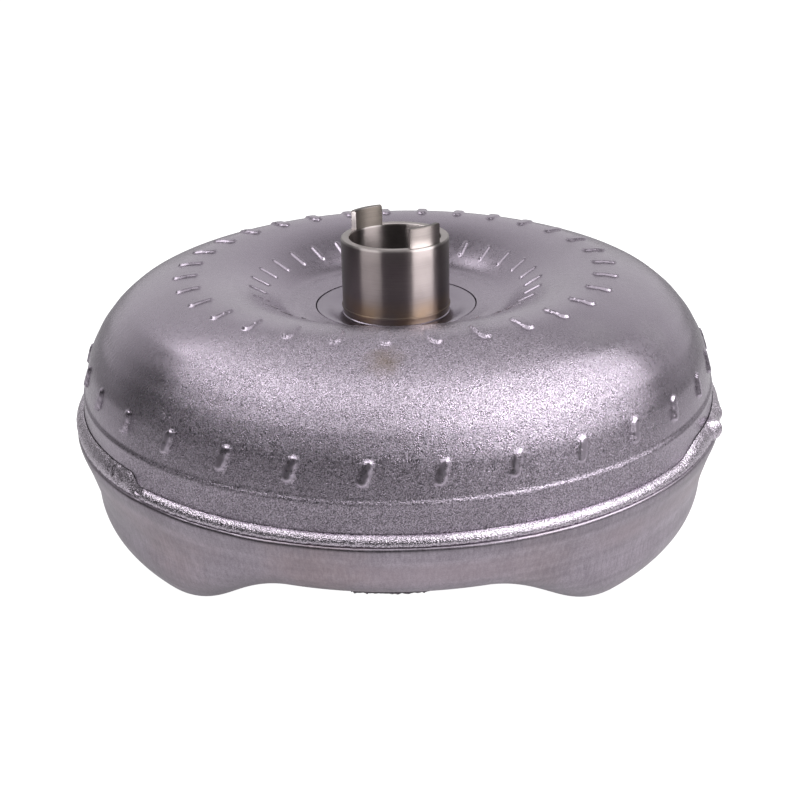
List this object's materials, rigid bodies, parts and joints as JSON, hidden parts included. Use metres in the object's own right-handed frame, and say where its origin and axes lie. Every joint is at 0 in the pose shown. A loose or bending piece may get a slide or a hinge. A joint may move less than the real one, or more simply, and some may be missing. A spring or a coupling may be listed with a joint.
{
  "type": "torque converter",
  "caption": "Round welded torque converter: bladed pump shell with a slotted drive hub, lobed front cover, and turbine, one-way stator and lock-up clutch inside.",
  "frame": {"origin": "on the shaft axis, in the plane of the three drive feet of the front cover", "axes": "+Z along the shaft axis, from the engine side to the pump drive hub; -Y is the front, where the balance weight is; +X to the right seen from the front"},
  "size_m": [0.2758, 0.2758, 0.1311],
  "materials": {
    "blasted_steel": "shot-blasted, fine sparkling grain, satin",
    "cover_steel": "blasted pressed steel, a little smoother than the pump shell",
    "weld_bead": "rippled weld bead, blasted",
    "turned_steel": "fine turned and ground, slight brown heat tint near the weld",
    "machined_steel": "machined, fine tool marks",
    "stamped_steel": "cold-rolled sheet, oily satin",
    "brazed_steel": "sheet steel blades with copper-toned braze at the roots",
    "cast_aluminium": "fine die-cast skin",
    "hardened_steel": "ground and hardened, smooth",
    "spring_steel": "drawn spring wire, oil-blued",
    "friction_paper": "porous paper friction lining",
    "seal_ring": "smooth black filled seal",
    "bronze": "sintered bronze washer"
  },
  "bodies": {
    "housing": {"impeller_shell": "blasted_steel", "pump_drive_hub": "turned_steel", "impeller_blades_and_core": "brazed_steel", "closing_weld": "weld_bead", "front_cover": "cover_steel", "crank_pilot": "machined_steel", "balance_weight": "machined_steel", "drive_boss_1": "machined_steel", "drive_boss_2": "machined_steel", "drive_boss_3": "machined_steel", "drive_boss_4": "machined_steel", "drive_boss_5": "machined_steel", "drive_boss_6": "machined_steel"},
    "turbine": {"turbine_shell": "stamped_steel", "turbine_blades_and_core": "brazed_steel", "turbine_hub": "machined_steel", "damper_driven_plate": "stamped_steel", "piston_seal_ring": "seal_ring", "cover_thrust_washer": "bronze", "turbine_bearing_washer": "hardened_steel", "turbine_rivet_1": "hardened_steel", "turbine_rivet_2": "hardened_steel", "turbine_rivet_3": "hardened_steel", "turbine_rivet_4": "hardened_steel", "turbine_rivet_5": "hardened_steel", "turbine_rivet_6": "hardened_steel"},
    "damper": {"damper_drive_plate": "stamped_steel", "damper_spring_1": "spring_steel", "damper_spring_2": "spring_steel", "damper_spring_3": "spring_steel", "damper_spring_4": "spring_steel", "damper_spring_5": "spring_steel", "damper_spring_6": "spring_steel"},
    "lockup_piston": {"lockup_piston": "stamped_steel", "friction_lining": "friction_paper"},
    "stator_inner_race": {"clutch_inner_race": "machined_steel"},
    "stator": {"stator_wheel": "cast_aluminium", "clutch_outer_race": "machined_steel", "stator_retainer_pump_side": "machined_steel", "stator_retainer_turbine_side": "machined_steel", "pump_bearing_washer": "hardened_steel", "clutch_roller_1": "hardened_steel", "clutch_roller_2": "hardened_steel", "clutch_roller_3": "hardened_steel", "clutch_roller_4": "hardened_steel", "clutch_roller_5": "hardened_steel", "clutch_roller_6": "hardened_steel", "clutch_spring_1": "spring_steel", "clutch_spring_2": "spring_steel", "clutch_spring_3": "spring_steel", "clutch_spring_4": "spring_steel", "clutch_spring_5": "spring_steel", "clutch_spring_6": "spring_steel"},
    "pump_bearing_cage": {"pump_thrust_bearing": "hardened_steel"},
    "turbine_bearing_cage": {"turbine_thrust_bearing": "hardened_steel"}
  },
  "joints": [
    {"name": "turbine_spin", "type": "hinge", "parent": "housing", "child": "turbine", "pos_m": [0, 0, 0.06], "axis": [0, 0, 1], "continuous": true},
    {"name": "damper_twist", "type": "hinge", "parent": "turbine", "child": "damper", "pos_m": [0, 0, 0.038], "axis": [0, 0, 1], "range_deg": [-6, 6], "stiffness_Nm_per_rad": 60},
    {"name": "lockup_apply", "type": "slide", "parent": "damper", "child": "lockup_piston", "axis": [0, 0, -1], "range_m": [0, 0.0013]},
    {"name": "stator_race_spin", "type": "hinge", "parent": "housing", "child": "stator_inner_race", "pos_m": [0, 0, 0.068], "axis": [0, 0, 1], "continuous": true},
    {"name": "stator_freewheel", "type": "hinge", "parent": "stator_inner_race", "child": "stator", "pos_m": [0, 0, 0.068], "axis": [0, 0, 1], "continuous": true},
    {"name": "pump_bearing_roll", "type": "hinge", "parent": "stator", "child": "pump_bearing_cage", "pos_m": [0, 0, 0.0844], "axis": [0, 0, 1], "continuous": true},
    {"name": "turbine_bearing_roll", "type": "hinge", "parent": "turbine", "child": "turbine_bearing_cage", "pos_m": [0, 0, 0.0528], "axis": [0, 0, 1], "continuous": true}
  ],
  "couplings": [
    {"joint": "pump_bearing_roll", "follows": "stator_freewheel", "ratio": -0.5},
    {"joint": "turbine_bearing_roll", "follows": "turbine_spin", "ratio": -0.5}
  ]
}
